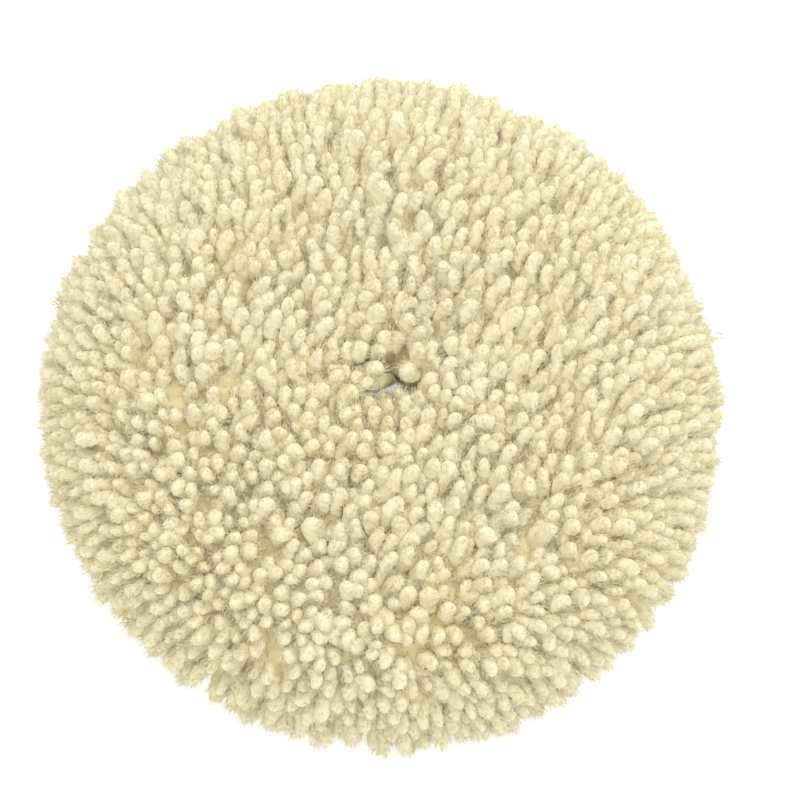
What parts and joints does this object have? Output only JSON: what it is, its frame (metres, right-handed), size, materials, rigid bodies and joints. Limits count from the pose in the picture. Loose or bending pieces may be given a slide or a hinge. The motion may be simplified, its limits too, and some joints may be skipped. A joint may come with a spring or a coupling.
{
  "type": "wool polishing pad",
  "caption": "Round cut-pile wool polishing pad with straight tufting rows, a centring hole in the back and a loop-fabric fastening face.",
  "frame": {"origin": "middle of the centring hole, in the plane of the loop fabric's lower face that the pad rests on", "axes": "+Z along the spindle axis, out of the wool face; X and Y lie in the plane of the loop fabric, and the tufting rows run 10 degrees round from +X towards +Y"},
  "size_m": [0.2, 0.1996, 0.0319],
  "materials": {
    "wool": "twisted cream-yellow wool yarn, cut pile",
    "canvas": "plain-woven cotton canvas",
    "thread": "twisted sewing thread",
    "loop": "brushed loop fabric",
    "foam": "closed-cell foam, fine cells",
    "latex": "dried latex, semi-matt",
    "film": "hot-melt adhesive film"
  },
  "bodies": {
    "root": {"loop_fabric": "loop", "loop_film": "film", "foam_cushion": "foam", "canvas_film": "film", "latex_coat": "latex", "canvas_backing": "canvas", "canvas_edge_thread": "thread", "hole_edge_thread": "thread", "wool_row_a01_left": "wool", "wool_row_a01_right": "wool", "wool_row_a02_left": "wool", "wool_row_a02_right": "wool", "wool_row_a03": "wool", "wool_row_a04": "wool", "wool_row_a05": "wool", "wool_row_a06": "wool", "wool_row_a07": "wool", "wool_row_a08": "wool", "wool_row_a09": "wool", "wool_row_a10": "wool", "wool_row_a11": "wool", "wool_row_a12": "wool", "wool_row_a13": "wool", "wool_row_a14": "wool", "wool_row_a15": "wool", "wool_row_a16": "wool", "wool_row_a17": "wool", "wool_row_a18": "wool", "wool_row_b01_left": "wool", "wool_row_b01_right": "wool", "wool_row_b02_left": "wool", "wool_row_b02_right": "wool", "wool_row_b03": "wool", "wool_row_b04": "wool", "wool_row_b05": "wool", "wool_row_b06": "wool", "wool_row_b07": "wool", "wool_row_b08": "wool", "wool_row_b09": "wool", "wool_row_b10": "wool", "wool_row_b11": "wool", "wool_row_b12": "wool", "wool_row_b13": "wool", "wool_row_b14": "wool", "wool_row_b15": "wool", "wool_row_b16": "wool", "wool_row_b17": "wool", "wool_row_b18": "wool"}
  },
  "joints": []
}
